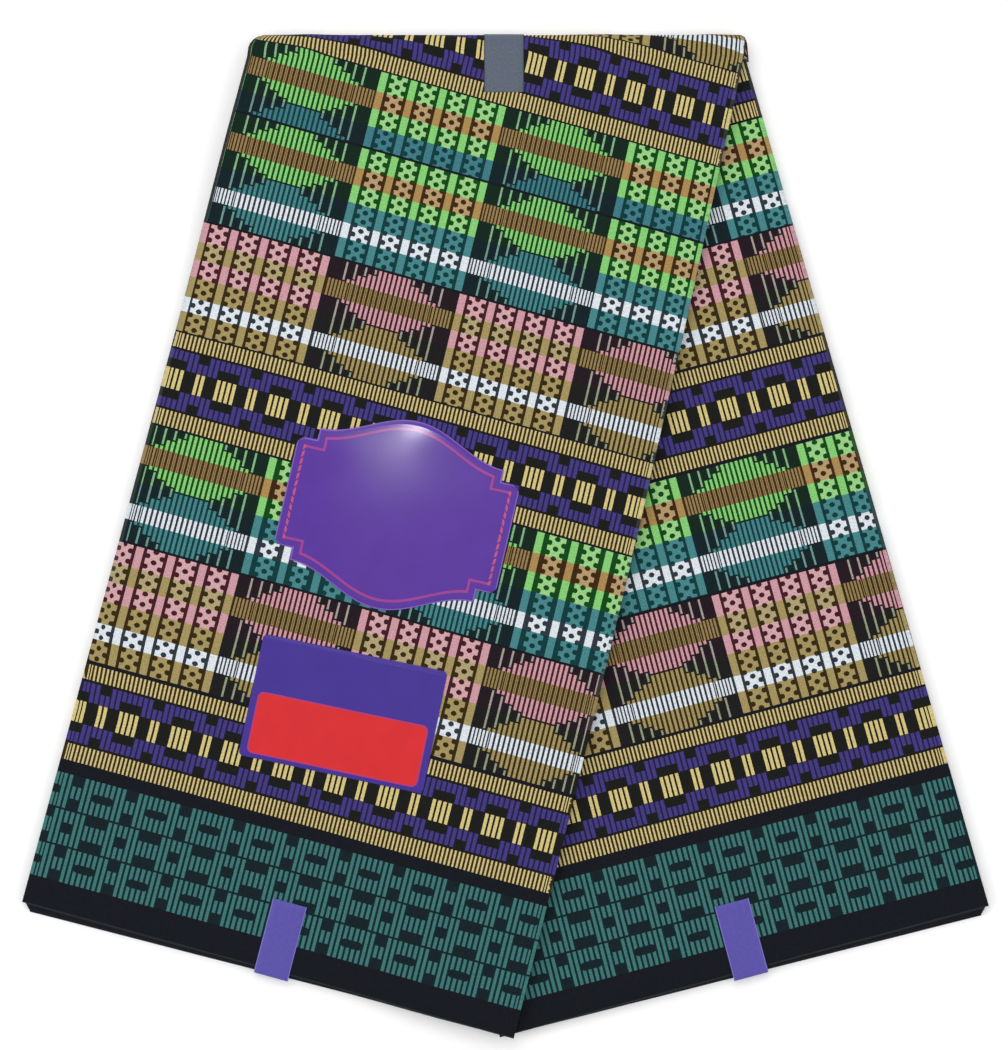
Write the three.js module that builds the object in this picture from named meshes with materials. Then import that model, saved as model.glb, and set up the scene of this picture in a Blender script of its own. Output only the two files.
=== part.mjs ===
import * as THREE from 'three';

// A length of wax print cotton, folded into a flat bundle and bent over once, so that it lies as an inverted V.
// Sizes are in millimetres. The floor is z = 0, and the bundle turns over along X, at y = 0.

// Thicknesses of one leg of the bundle, from the floor up: hidden layers, a seam, and the panel that shows.
const hiddenLayers = 5.5;
const seam = 0.35;
const panelWall = 1.15;
const legHeight = hiddenLayers + seam + panelWall;

// The front leg lies on the back leg, and slopes down to the floor beside it.
const restGap = 0.35;
const raised = legHeight + restGap;
const crownRadius = (legHeight + raised) / 2;
const slopeStart = 16;
const slopeWidth = 80;

// Each leg as seen from above: where its hem starts, and how far each side leans to the right on the way up.
const legs = {
  front: { hemLeft: [-290.5, -526], hemWidth: 307, hemAngle: -15.2, leftLean: 14.5, rightLean: 13.35, rightBow: 3.4 },
  back: { hemLeft: [-2.5, -606.8], hemWidth: 305, hemAngle: 14.9, leftLean: -14.2, rightLean: -15.5, rightBow: 0 },
};

// The hidden layers show as rounded folds along the sides, and step out below the hem near the outer corner.
const fold = { count: 4, depth: 0.8, roundness: 0.25 };
const layerSteps = [
  { peep: 0.2, tuck: 0.25 },
  { peep: 0.6, tuck: 0.6 },
  { peep: 0.85, tuck: 0.8 },
  { peep: 1, tuck: 1 },
];
const hemPeep = { outer: 5.5, inner: 0.6 };
const sideTuck = { hem: 6, top: 0.8, fadeLength: 260 };
const panelRim = 0.4;

// Grid steps across a leg, along it, and round the turn at the top.
const frontGrid = { across: 24, along: 22, turn: 8 };
const backGrid = { across: 6, along: 6, turn: 0 };

// Paper labels, each lifted off the cloth that it is glued to.
const labelLift = 0.4;
const labelWall = 0.5;
const plaque = {
  centre: [-64.9, -292.7],
  angle: -15.4,
  halfWidth: 69,
  crest: 58.2,
  shoulder: { x: 57, height: 41 },
  tab: { height: 33.5, corner: 5 },
};
const careLabel = { centre: [-97, -412.8], angle: -13.6, width: 112, height: 74.7, corner: 3 };
const crownSeal = { x: 0, width: 24.4, below: 33.5, past: 15 };
const hemSeal = { width: 21.2, length: 42, across: 0.51, over: 4.5, clear: 0.5 };

const colours = {
  cloth: 0x1f3a34,
  layers: 0x171d28,
  plaque: 0x5b2f98,
  careLabel: 0xc23038,
  crownSeal: 0x687082,
  hemSeal: 0x5549a8,
};

const degrees = Math.PI / 180;
const lerp = THREE.MathUtils.lerp;
const smoothstep = THREE.MathUtils.smootherstep;

// One thread line of a leg: its start on the hem, its lean, and its length up to the turn.
function threadLine(leg, across) {
  const angle = leg.hemAngle * degrees;
  const x = leg.hemLeft[0] + across * leg.hemWidth * Math.cos(angle);
  const y = leg.hemLeft[1] + across * leg.hemWidth * Math.sin(angle);
  const lean = lerp(leg.leftLean, leg.rightLean, across) * degrees;
  return { x, y, lean, length: -y / Math.cos(lean) };
}

// A point of a leg from above, at a share of its width and a distance up from its hem.
function legPlan(leg, across, along) {
  const line = threadLine(leg, across);
  const angle = leg.hemAngle * degrees;
  const bow = across * leg.rightBow * Math.sin(Math.PI * THREE.MathUtils.clamp(along / line.length, 0, 1));
  return {
    x: line.x + along * Math.sin(line.lean) + bow * Math.cos(angle),
    y: line.y + along * Math.cos(line.lean) + bow * Math.sin(angle),
  };
}

// How high the underside of the front leg is: on the back leg to the right of its edge, on the floor further left.
function frontUnderside(x, y) {
  const edge = threadLine(legs.back, 0);
  const beside = (x - edge.x) * Math.cos(edge.lean) - (y - edge.y) * Math.sin(edge.lean);
  return raised * smoothstep(beside, -slopeStart - slopeWidth, -slopeStart);
}

// A point of the front leg: flat up to the turn, and then round it. Height is counted from its underside.
function frontPoint(across, along, turn, height) {
  const line = threadLine(legs.front, across);
  if (turn === 0) {
    const plan = legPlan(legs.front, across, along);
    return new THREE.Vector3(plan.x, plan.y, frontUnderside(plan.x, plan.y) + height);
  }
  const radius = restGap / 2 + height;
  const foldX = line.x + line.length * Math.sin(line.lean) + turn * (legHeight / 2) * Math.tan(line.lean);
  return new THREE.Vector3(foldX, radius * Math.sin(turn), crownRadius + radius * Math.cos(turn));
}

function backPoint(across, along, turn, height) {
  const plan = legPlan(legs.back, across, along);
  return new THREE.Vector3(plan.x, plan.y, height);
}

// A closed solid between a top and a bottom grid, with one ring of points for each level of its edge between them.
// place(i, j, level) gives the point at column i and row j; only edge points are asked for between the grids.
function layeredSolid(columns, rows, levels, place) {
  const positions = [];
  const faces = [];
  const found = new Map();
  const vertex = (i, j, level) => {
    const key = `${i} ${j} ${level}`;
    if (!found.has(key)) {
      found.set(key, positions.length / 3);
      positions.push(...place(i, j, level).toArray());
    }
    return found.get(key);
  };
  const quad = (a, b, c, d) => faces.push(a, b, c, a, c, d);
  const last = levels - 1;
  for (let j = 0; j < rows; j += 1) {
    for (let i = 0; i < columns; i += 1) {
      quad(vertex(i, j, 0), vertex(i + 1, j, 0), vertex(i + 1, j + 1, 0), vertex(i, j + 1, 0));
      quad(vertex(i, j, last), vertex(i, j + 1, last), vertex(i + 1, j + 1, last), vertex(i + 1, j, last));
    }
  }
  const ring = [];
  for (let i = 0; i < columns; i += 1) ring.push([i, 0]);
  for (let j = 0; j < rows; j += 1) ring.push([columns, j]);
  for (let i = columns; i > 0; i -= 1) ring.push([i, rows]);
  for (let j = rows; j > 0; j -= 1) ring.push([0, j]);
  ring.forEach(([i, j], index) => {
    const [nextI, nextJ] = ring[(index + 1) % ring.length];
    for (let level = 0; level < last; level += 1) {
      quad(vertex(i, j, level), vertex(i, j, level + 1), vertex(nextI, nextJ, level + 1), vertex(nextI, nextJ, level));
    }
  });
  const geometry = new THREE.BufferGeometry();
  geometry.setAttribute('position', new THREE.Float32BufferAttribute(positions, 3));
  geometry.setIndex(faces);
  geometry.computeVertexNormals();
  return geometry;
}

// The edge of the hidden layers, from the top down: how far each level stands back, and how it steps out.
function layerLevels() {
  const levels = [];
  const step = hiddenLayers / fold.count;
  for (let index = 0; index < fold.count; index += 1) {
    const { peep, tuck } = layerSteps[index];
    const before = layerSteps[Math.max(index - 1, 0)];
    const top = hiddenLayers - index * step;
    levels.push({ height: top, back: fold.depth, peep: Math.min(peep, before.peep), tuck: Math.max(tuck, before.tuck) });
    levels.push({ height: top - step * fold.roundness, back: 0, peep, tuck });
    levels.push({ height: top - step * (1 - fold.roundness), back: 0, peep, tuck });
  }
  levels.push({ height: 0, back: fold.depth, peep: 1, tuck: 1 });
  return levels;
}

// The edge of a panel, from its top face down, with a rounded rim.
function panelLevels() {
  const base = hiddenLayers + seam;
  return [
    { height: base + panelWall, back: panelRim },
    { height: base + panelWall * 0.7, back: 0 },
    { height: base + panelWall * 0.3, back: 0 },
    { height: base, back: panelRim },
  ];
}

// One slab of a leg. Interior points are shared by all its slabs; edge points move in or out by their level.
function legSlab(leg, grid, levels, outerSide, point) {
  const columns = grid.across;
  const rows = grid.along + grid.turn;
  return layeredSolid(columns, rows, levels.length, (i, j, levelIndex) => {
    const level = levels[levelIndex];
    const atLeft = i === 0;
    const atRight = i === columns;
    let across = i / columns;
    const line = threadLine(leg, across);
    let along = Math.min(j / grid.along, 1) * line.length;
    const turn = Math.max(0, (j - grid.along) / Math.max(grid.turn, 1)) * Math.PI;
    if (atLeft || atRight) {
      const fade = THREE.MathUtils.clamp(1 - along / sideTuck.fadeLength, 0, 1);
      const outer = (outerSide === 'left') === atLeft;
      const deepTuck = outer ? (sideTuck.hem - sideTuck.top) * fade * fade : 0;
      const tuck = level.tuck === undefined ? 0 : sideTuck.top + deepTuck * level.tuck;
      across += (atLeft ? 1 : -1) * (level.back + tuck) / leg.hemWidth;
    }
    if (j === 0) {
      const share = outerSide === 'left' ? 1 - i / columns : i / columns;
      const peep = level.peep === undefined ? 0 : lerp(hemPeep.inner, hemPeep.outer, share) * level.peep;
      along = level.back - peep;
    }
    if (grid.turn === 0 && j === rows) along -= seam + level.back;
    return point(across, along, turn, level.height);
  });
}

// A label that lies on the front leg: its own axes turned into the plan, and lifted off the panel below.
function labelOnFront(columns, rows, centre, angle, outline) {
  const cos = Math.cos(angle * degrees);
  const sin = Math.sin(angle * degrees);
  return layeredSolid(columns, rows, 2, (i, j, level) => {
    const local = outline((2 * i) / columns - 1, (2 * j) / rows - 1);
    const x = centre[0] + local.x * cos - local.y * sin;
    const y = centre[1] + local.x * sin + local.y * cos;
    const lift = labelLift + (level === 0 ? labelWall : 0);
    return new THREE.Vector3(x, y, frontUnderside(x, y) + legHeight + lift);
  });
}

// The plaque: a crest above and below, shoulders, and a short tab at each side with rounded corners.
function plaqueHalfHeight(x) {
  const { halfWidth, crest, shoulder, tab } = plaque;
  const away = Math.abs(x);
  if (away <= shoulder.x) {
    return lerp(shoulder.height, crest, (1 + Math.cos((Math.PI * away) / shoulder.x)) / 2);
  }
  const corner = Math.max(0, away - (halfWidth - tab.corner));
  return tab.height - tab.corner + Math.sqrt(Math.max(0, tab.corner ** 2 - corner ** 2));
}

// Columns of the plaque crowd at its shoulders and at its rounded ends.
function plaqueColumn(share) {
  const { halfWidth, shoulder, tab } = plaque;
  const stops = [0, 10, 20, 30, 40, 50, shoulder.x, shoulder.x + 1.5, halfWidth - tab.corner, halfWidth - 1.5, halfWidth];
  const index = Math.round(Math.abs(share) * (stops.length - 1));
  return Math.sign(share) * stops[index];
}

function rectangleWithCorners(width, height, corner) {
  return (s, t) => {
    const x = (s * width) / 2;
    const past = Math.max(0, Math.abs(x) - (width / 2 - corner));
    const halfHeight = height / 2 - corner + Math.sqrt(Math.max(0, corner ** 2 - past ** 2));
    return { x, y: t * halfHeight };
  };
}

// The seal on the turn: up the front leg, and a short way round the crown.
function crownSealSolid() {
  const rows = 12;
  const columns = 2;
  const length = crownSeal.below + crownSeal.past;
  return layeredSolid(columns, rows, 2, (i, j, level) => {
    const x = crownSeal.x + (i / columns - 0.5) * crownSeal.width;
    const lift = labelLift + (level === 0 ? labelWall : 0);
    const travelled = (j / rows) * length - crownSeal.below;
    if (travelled <= 0) return new THREE.Vector3(x, travelled, raised + legHeight + lift);
    const turn = travelled / crownRadius;
    const radius = crownRadius + lift;
    return new THREE.Vector3(x, radius * Math.sin(turn), crownRadius + radius * Math.cos(turn));
  });
}

// A seal on a hem: down the panel, and over the edge of the layers that step out below it.
function hemSealSolid(leg, point, outerSide) {
  const flatRows = 5;
  const columns = 2;
  const share = outerSide === 'left' ? 1 - hemSeal.across : hemSeal.across;
  const reach = lerp(hemPeep.inner, hemPeep.outer, share) + hemSeal.clear;
  return layeredSolid(columns, flatRows + 1, 2, (i, j, level) => {
    const across = hemSeal.across + ((i / columns - 0.5) * hemSeal.width) / leg.hemWidth;
    const lift = labelLift + (level === 0 ? labelWall : 0);
    const outward = level === 0 ? labelWall : 0;
    if (j === 0) return point(across, -reach - outward, 0, legHeight - hemSeal.over);
    const along = lerp(-reach - outward, hemSeal.length, (j - 1) / flatRows);
    return point(across, along, 0, legHeight + lift);
  });
}

function material(color, roughness) {
  return new THREE.MeshStandardMaterial({ color, roughness, metalness: 0 });
}

function piece(name, geometry, color, roughness) {
  const mesh = new THREE.Mesh(geometry, material(color, roughness));
  mesh.name = name;
  return mesh;
}

function clothPieces() {
  const { front, back } = legs;
  return [
    piece('front_panel', legSlab(front, frontGrid, panelLevels(), 'left', frontPoint), colours.cloth, 0.75),
    piece('front_layers', legSlab(front, frontGrid, layerLevels(), 'left', frontPoint), colours.layers, 0.85),
    piece('back_panel', legSlab(back, backGrid, panelLevels(), 'right', backPoint), colours.cloth, 0.75),
    piece('back_layers', legSlab(back, backGrid, layerLevels(), 'right', backPoint), colours.layers, 0.85),
  ];
}

function labelPieces() {
  const plaqueOutline = (s, t) => {
    const x = plaqueColumn(s);
    return { x, y: t * plaqueHalfHeight(x) };
  };
  const careOutline = rectangleWithCorners(careLabel.width, careLabel.height, careLabel.corner);
  const { centre, angle } = careLabel;
  return [
    piece('plaque_label', labelOnFront(20, 8, plaque.centre, plaque.angle, plaqueOutline), colours.plaque, 0.25),
    piece('care_label', labelOnFront(8, 6, centre, angle, careOutline), colours.careLabel, 0.3),
    piece('crown_seal', crownSealSolid(), colours.crownSeal, 0.35),
    piece('front_hem_seal', hemSealSolid(legs.front, frontPoint, 'left'), colours.hemSeal, 0.35),
    piece('back_hem_seal', hemSealSolid(legs.back, backPoint, 'right'), colours.hemSeal, 0.35),
  ];
}

// The model's origin is on the floor, at the middle of the bundle's box.
function buildFabric() {
  const fabric = new THREE.Group();
  fabric.add(...clothPieces(), ...labelPieces());
  const middle = new THREE.Box3().setFromObject(fabric).getCenter(new THREE.Vector3());
  fabric.position.set(-middle.x, -middle.y, 0);
  return fabric;
}

export default buildFabric();
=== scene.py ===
import math
import bpy
import bmesh
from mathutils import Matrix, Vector, noise


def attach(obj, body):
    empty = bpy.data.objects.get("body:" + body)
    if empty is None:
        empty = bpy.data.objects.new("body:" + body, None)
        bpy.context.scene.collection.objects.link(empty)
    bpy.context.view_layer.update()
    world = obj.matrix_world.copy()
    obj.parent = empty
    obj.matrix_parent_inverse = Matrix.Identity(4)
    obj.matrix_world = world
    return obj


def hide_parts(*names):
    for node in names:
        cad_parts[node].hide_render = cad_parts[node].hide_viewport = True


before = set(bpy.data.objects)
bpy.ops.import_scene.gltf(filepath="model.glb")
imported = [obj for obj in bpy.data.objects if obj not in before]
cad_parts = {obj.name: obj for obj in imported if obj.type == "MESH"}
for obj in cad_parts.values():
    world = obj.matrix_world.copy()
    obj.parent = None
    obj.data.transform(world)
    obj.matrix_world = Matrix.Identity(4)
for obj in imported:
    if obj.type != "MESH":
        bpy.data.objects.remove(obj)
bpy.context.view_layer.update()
print("frame loaded")

# The bundle is laid out in millimetres: the floor is z = 0, it turns over along X at y = 0, and its hems are at -Y.
# place() moves that layout to the frame's metres.
layout = {"shift": (-0.87234, 299.5543), "metre": 0.001, "weld": 2e-6}


def place(x, y, z):
    across, along = layout["shift"]
    return Vector((x + across, y + along, z)) * layout["metre"]


def clamp(value, low=0.0, high=1.0):
    return max(low, min(high, value))


def lerp(first, second, share):
    return first + (second - first) * share


def easeInOut(value, low, high):
    share = clamp((value - low) / (high - low))
    return share * share * share * (share * (6 * share - 15) + 10)


def along(stops, share):
    spot = clamp(share) * (len(stops) - 1)
    index = min(int(spot), len(stops) - 2)
    return lerp(stops[index], stops[index + 1], spot - index)


# Camera: over the middle of the bundle, a little towards its hems
cameraSetup = {
    "spot": (-0.00087, -0.0900, 1.4972), "aim": (-0.00087, 0.00155, 0.0),
    "lens": 87.68, "sensor": 36.0, "near": 0.05,
}


def setCamera():
    data = bpy.data.cameras.new("camera")
    data.lens = cameraSetup["lens"]
    data.sensor_width = cameraSetup["sensor"]
    data.sensor_fit = "HORIZONTAL"
    data.clip_start = cameraSetup["near"]
    camera = bpy.data.objects.new("camera", data)
    bpy.context.scene.collection.objects.link(camera)
    camera.location = cameraSetup["spot"]
    towards = Vector(cameraSetup["aim"]) - camera.location
    camera.rotation_euler = towards.to_track_quat("-Z", "Y").to_euler()
    bpy.context.scene.camera = camera


setCamera()
print("camera set")


# Material helpers

def ink(red, green, blue):
    # a printed colour, from 0-255 screen values to the linear values that sockets take
    def linear(value):
        share = value / 255
        return ((share + 0.055) / 1.055) ** 2.4 if value > 10 else share / 12.92

    return linear(red), linear(green), linear(blue), 1.0


def newMaterial(name):
    material = bpy.data.materials.new(name)
    material.use_nodes = True
    tree = material.node_tree
    shader = tree.nodes["Principled BSDF"]
    return material, tree, shader


def wire(tree, socket, value):
    if isinstance(value, bpy.types.NodeSocket):
        tree.links.new(value, socket)
    else:
        socket.default_value = value


def nodeBench(tree):
    # calc() adds a maths node and paint() lays one colour over another where a mask is 1
    def calc(operation, *values):
        node = tree.nodes.new("ShaderNodeMath")
        node.operation = operation
        for index, value in enumerate(values):
            wire(tree, node.inputs[index], value)
        return node.outputs[0]

    def paint(under, over, mask):
        node = tree.nodes.new("ShaderNodeMix")
        node.data_type = "RGBA"
        wire(tree, node.inputs[0], mask)
        wire(tree, node.inputs[6], under)
        wire(tree, node.inputs[7], over)
        return node.outputs[2]

    return calc, paint


def grain(tree, vector, scale, detail=2.0, roughness=0.5):
    node = tree.nodes.new("ShaderNodeTexNoise")
    node.inputs["Scale"].default_value = scale
    node.inputs["Detail"].default_value = detail
    node.inputs["Roughness"].default_value = roughness
    tree.links.new(vector, node.inputs["Vector"])
    return node


def bump(tree, height, strength, distance, shader, under=None):
    node = tree.nodes.new("ShaderNodeBump")
    node.inputs["Strength"].default_value = strength
    node.inputs["Distance"].default_value = distance
    tree.links.new(height, node.inputs["Height"])
    if under is not None:
        tree.links.new(under, node.inputs["Normal"])
    tree.links.new(node.outputs[0], shader.inputs["Normal"])
    return node.outputs[0]


# The printed cotton. The chart is in millimetres: u runs across the panel and v runs up from its hem.
inks = {
    "navy": (11, 16, 24),
    "teal": (58, 109, 106), "tealGap": (6, 36, 42),
    "gold": (194, 178, 124), "goldGap": (48, 36, 5),
    "yellow": (198, 182, 120), "yellowGap": (20, 20, 18),
    "purple": (62, 52, 119), "purpleGap": (28, 25, 58),
    "olive": (152, 136, 88), "oliveGap": (46, 34, 6),
    "sand": (158, 127, 76), "sandGap": (54, 32, 6),
    "green": (124, 190, 108), "greenGap": (8, 64, 14),
    "pink": (190, 142, 150), "pinkGap": (60, 20, 28),
    "sea": (64, 122, 126), "seaGap": (4, 52, 54),
    "blueSea": (56, 112, 122), "white": (206, 213, 218), "whiteGap": (40, 48, 58),
    "pale": (118, 148, 130), "belt": (140, 118, 76), "latticePale": (226, 214, 198),
    "navyMottle": (16, 18, 25), "fretGround": (10, 38, 42),
    # the last two inks are painted light: a pale painted highlight for the folded edges and a faint painted sheen
    # speckle
    "paintedEdgeHighlight": (112, 120, 112), "paintedSheenSpeckle": (190, 190, 196),
}

# Where the repeats fall on each leg. squares: bottom, height, repeat, middle of a square.
# blocks: bottom, height, middle of a lens, repeat, half a lens's width, dots up its lattice, where they start.
printLegs = {
    "front": {
        "fret": (33.3, 31.0),
        "squares": [(89.2, 58.8, 32.6, 33.6), (299.2, 57.3, 32.25, 41.7), (544.3, 58.3, 32.2, 178.1)],
        "squareEdges": (224, 450),
        "blocks": [
            (150.3, 73.8, 115.2, 157.8, 38.6, 11.35, 0.28),
            (225.6, 72.3, 206.8, 168.4, 38.8, 12, 0.75),
            (357.6, 67.3, 123.9, 162.2, 41.4, 11.5, 0.38),
            (426.4, 68.4, 206.0, 161.3, 40.1, 11.9, 0.25),
            (474.6, 68.7, 206.2, 161.4, 40.1, 11.7, 0.55),
            (603.5, 67.5, 286.0, 161.5, 40.0, 11.7, 0.35),
        ],
        "blockEdges": (224.9, 328, 425.7, 496.3, 573),
        "greenBlocks": (0, 1, 0, 1, 1, 0),
        "tilt": 4.5,             # how far the bands climb, left to right, near the turn
        "edgeStretch": (4.0, 90, 120, 170),
    },
    "back": {
        "fret": (33.5, 265.2),
        "squares": [(89.2, 58.5, 32.3, 300.1), (301.0, 58.6, 32.4, 298.9), (500.4, 58.3, 32.3, 298.9)],
        "squareEdges": (224, 430),
        "blocks": [
            (149.6, 73.6, 153.9, 156.6, 38.8, 11.2, 0.1),
            (225.2, 73.6, 229.6, 157.0, 38.8, 11.2, 0),
            (361.4, 68.2, 307.6, 161.7, 39.5, 11.55, 0.25),
            (431.0, 68.0, 224.8, 161.5, 40.0, 11.5, 0.35),
            (560.0, 67.5, 306.0, 161.5, 40.0, 11.7, 0.35),
        ],
        "blockEdges": (224.5, 330, 430.4, 530),
        "greenBlocks": (0, 1, 0, 1, 0),
        "tilt": 0.0,
        "edgeStretch": None,
    },
}

# What the figures share. Lengths are in millimetres, and bar widths are shares of a bar's step.
printRules = {
    "wobble": 0.30,                       # how far the printed edges stray
    "panel": (305, 600), "tiltFrom": 0.45,
    "quad": 0.2, "pair": 0.4,             # four bars and two bars of every ten
    "weave": 0.42, "fibre": (0.25, 0.75, 0.6, 1.4), "fibreBump": (0.22, 0.00012), "rumpleBump": (0.25, 0.002),
    "roughness": 0.75, "specular": 0.06, "sheen": 0.02, "sheenRoughness": 0.5,
    # noise: scale, detail and, for the yarns, roughness
    "strayGrain": (0.9, 1.0), "mottleGrain": (0.06, 3.0), "fibreGrain": (1.1, 3.0, 0.7),
    # the first noise on the next line speckles the painted sheen
    "paintedSheenGrain": (0.35, 4.0), "rumpleGrain": (0.08, 3.0),
    # where the folded edges get their painted highlight and how strong it is, then the painted sheen speckle's share
    "paintedSideHighlight": (152.0, 153.0), "paintedSideHighlightFrom": 190, "paintedHemHighlight": (-0.2, 0.3), "paintedHemHighlightShare": 0.8,
    "paintedEdgeHighlight": 0.12, "paintedSheenSpeckle": 0.008, "fibreInWeave": 1.5,
}
fretRules = {
    "rows": (17.6, 81.2), "middleRow": (38.3, 60.6), "middle": 49.4, "rowStep": 21.65, "rowHalf": 10.2,
    "slot": 2.5, "slotTaper": 0.5, "taperFrom": 0.155, "shortQuad": 4.4, "splitPair": 3.2, "shortPair": 3.7,
    "bar": 0.58, "ground": 0.45,
}
squareRules = {
    "middle": 0.507, "height": 59.0, "yellow": 6.5, "purple": (6.9, 18.4), "quadInset": 5.6, "pairInset": 5.3,
    "gold": 19.9, "goldBars": 13, "yellowBar": 0.62, "purpleBar": 0.66, "goldBar": 0.46,
}
lensRules = {
    # the low band's middle and half height as shares of a block's height, and what the high band's have more
    "bands": (0.2455, 0.4945), "bandHalf": (0.0675, 0.0125),
    "reach": 0.172, "start": 1.05, "steps": ((10.7, -0.33), (16.8, -0.22), (22.9, -0.33), (29.0, -0.17)),
    "seamLine": (0.497, 0.509), "bar": 3.05, "steppedBar": 0.55,
    "fineBar": 0.28, "fineFrom": 26.0, "fineLess": 0.9, "fineEnd": 1.2, "split": 0.25, "splitDepth": 0.7,
    "thinStep": 6.1, "thinBar": 0.2, "thinSpan": (10.7, 33.0), "thinClear": 0.08, "thinPale": 0.6, "groundTint": 0.22,
    "blueFrom": 496.3,
}
latticeRules = {
    "stripe": 4.5, "half": 5.3, "dot": (1.75, 1.5), "dotCorner": 2.25,
    "notch": (2.5, 1.5), "notchCorner": 3.2, "pale": 0.12, "paintedEdgeShade": (328, 4.4),
}


def flatMillimetres(tree):
    # the piece's own flat map, in millimetres, whole and split
    uvMap = tree.nodes.new("ShaderNodeUVMap")
    uvMap.uv_map = "print"
    scaled = tree.nodes.new("ShaderNodeVectorMath")
    scaled.operation = "SCALE"
    tree.links.new(uvMap.outputs[0], scaled.inputs[0])
    scaled.inputs["Scale"].default_value = 1000
    split = tree.nodes.new("ShaderNodeSeparateXYZ")
    tree.links.new(scaled.outputs[0], split.inputs[0])
    return scaled.outputs[0], split.outputs[0], split.outputs[1]


def scaleColour(tree, colour, value, fromRange, toRange):
    # a colour made darker or lighter by a value
    shade = tree.nodes.new("ShaderNodeMapRange")
    shade.inputs["From Min"].default_value, shade.inputs["From Max"].default_value = fromRange
    shade.inputs["To Min"].default_value, shade.inputs["To Max"].default_value = toRange
    tree.links.new(value, shade.inputs["Value"])
    scaled = tree.nodes.new("ShaderNodeVectorMath")
    scaled.operation = "SCALE"
    tree.links.new(colour, scaled.inputs[0])
    tree.links.new(shade.outputs[0], scaled.inputs["Scale"])
    return scaled.outputs[0]


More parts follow.
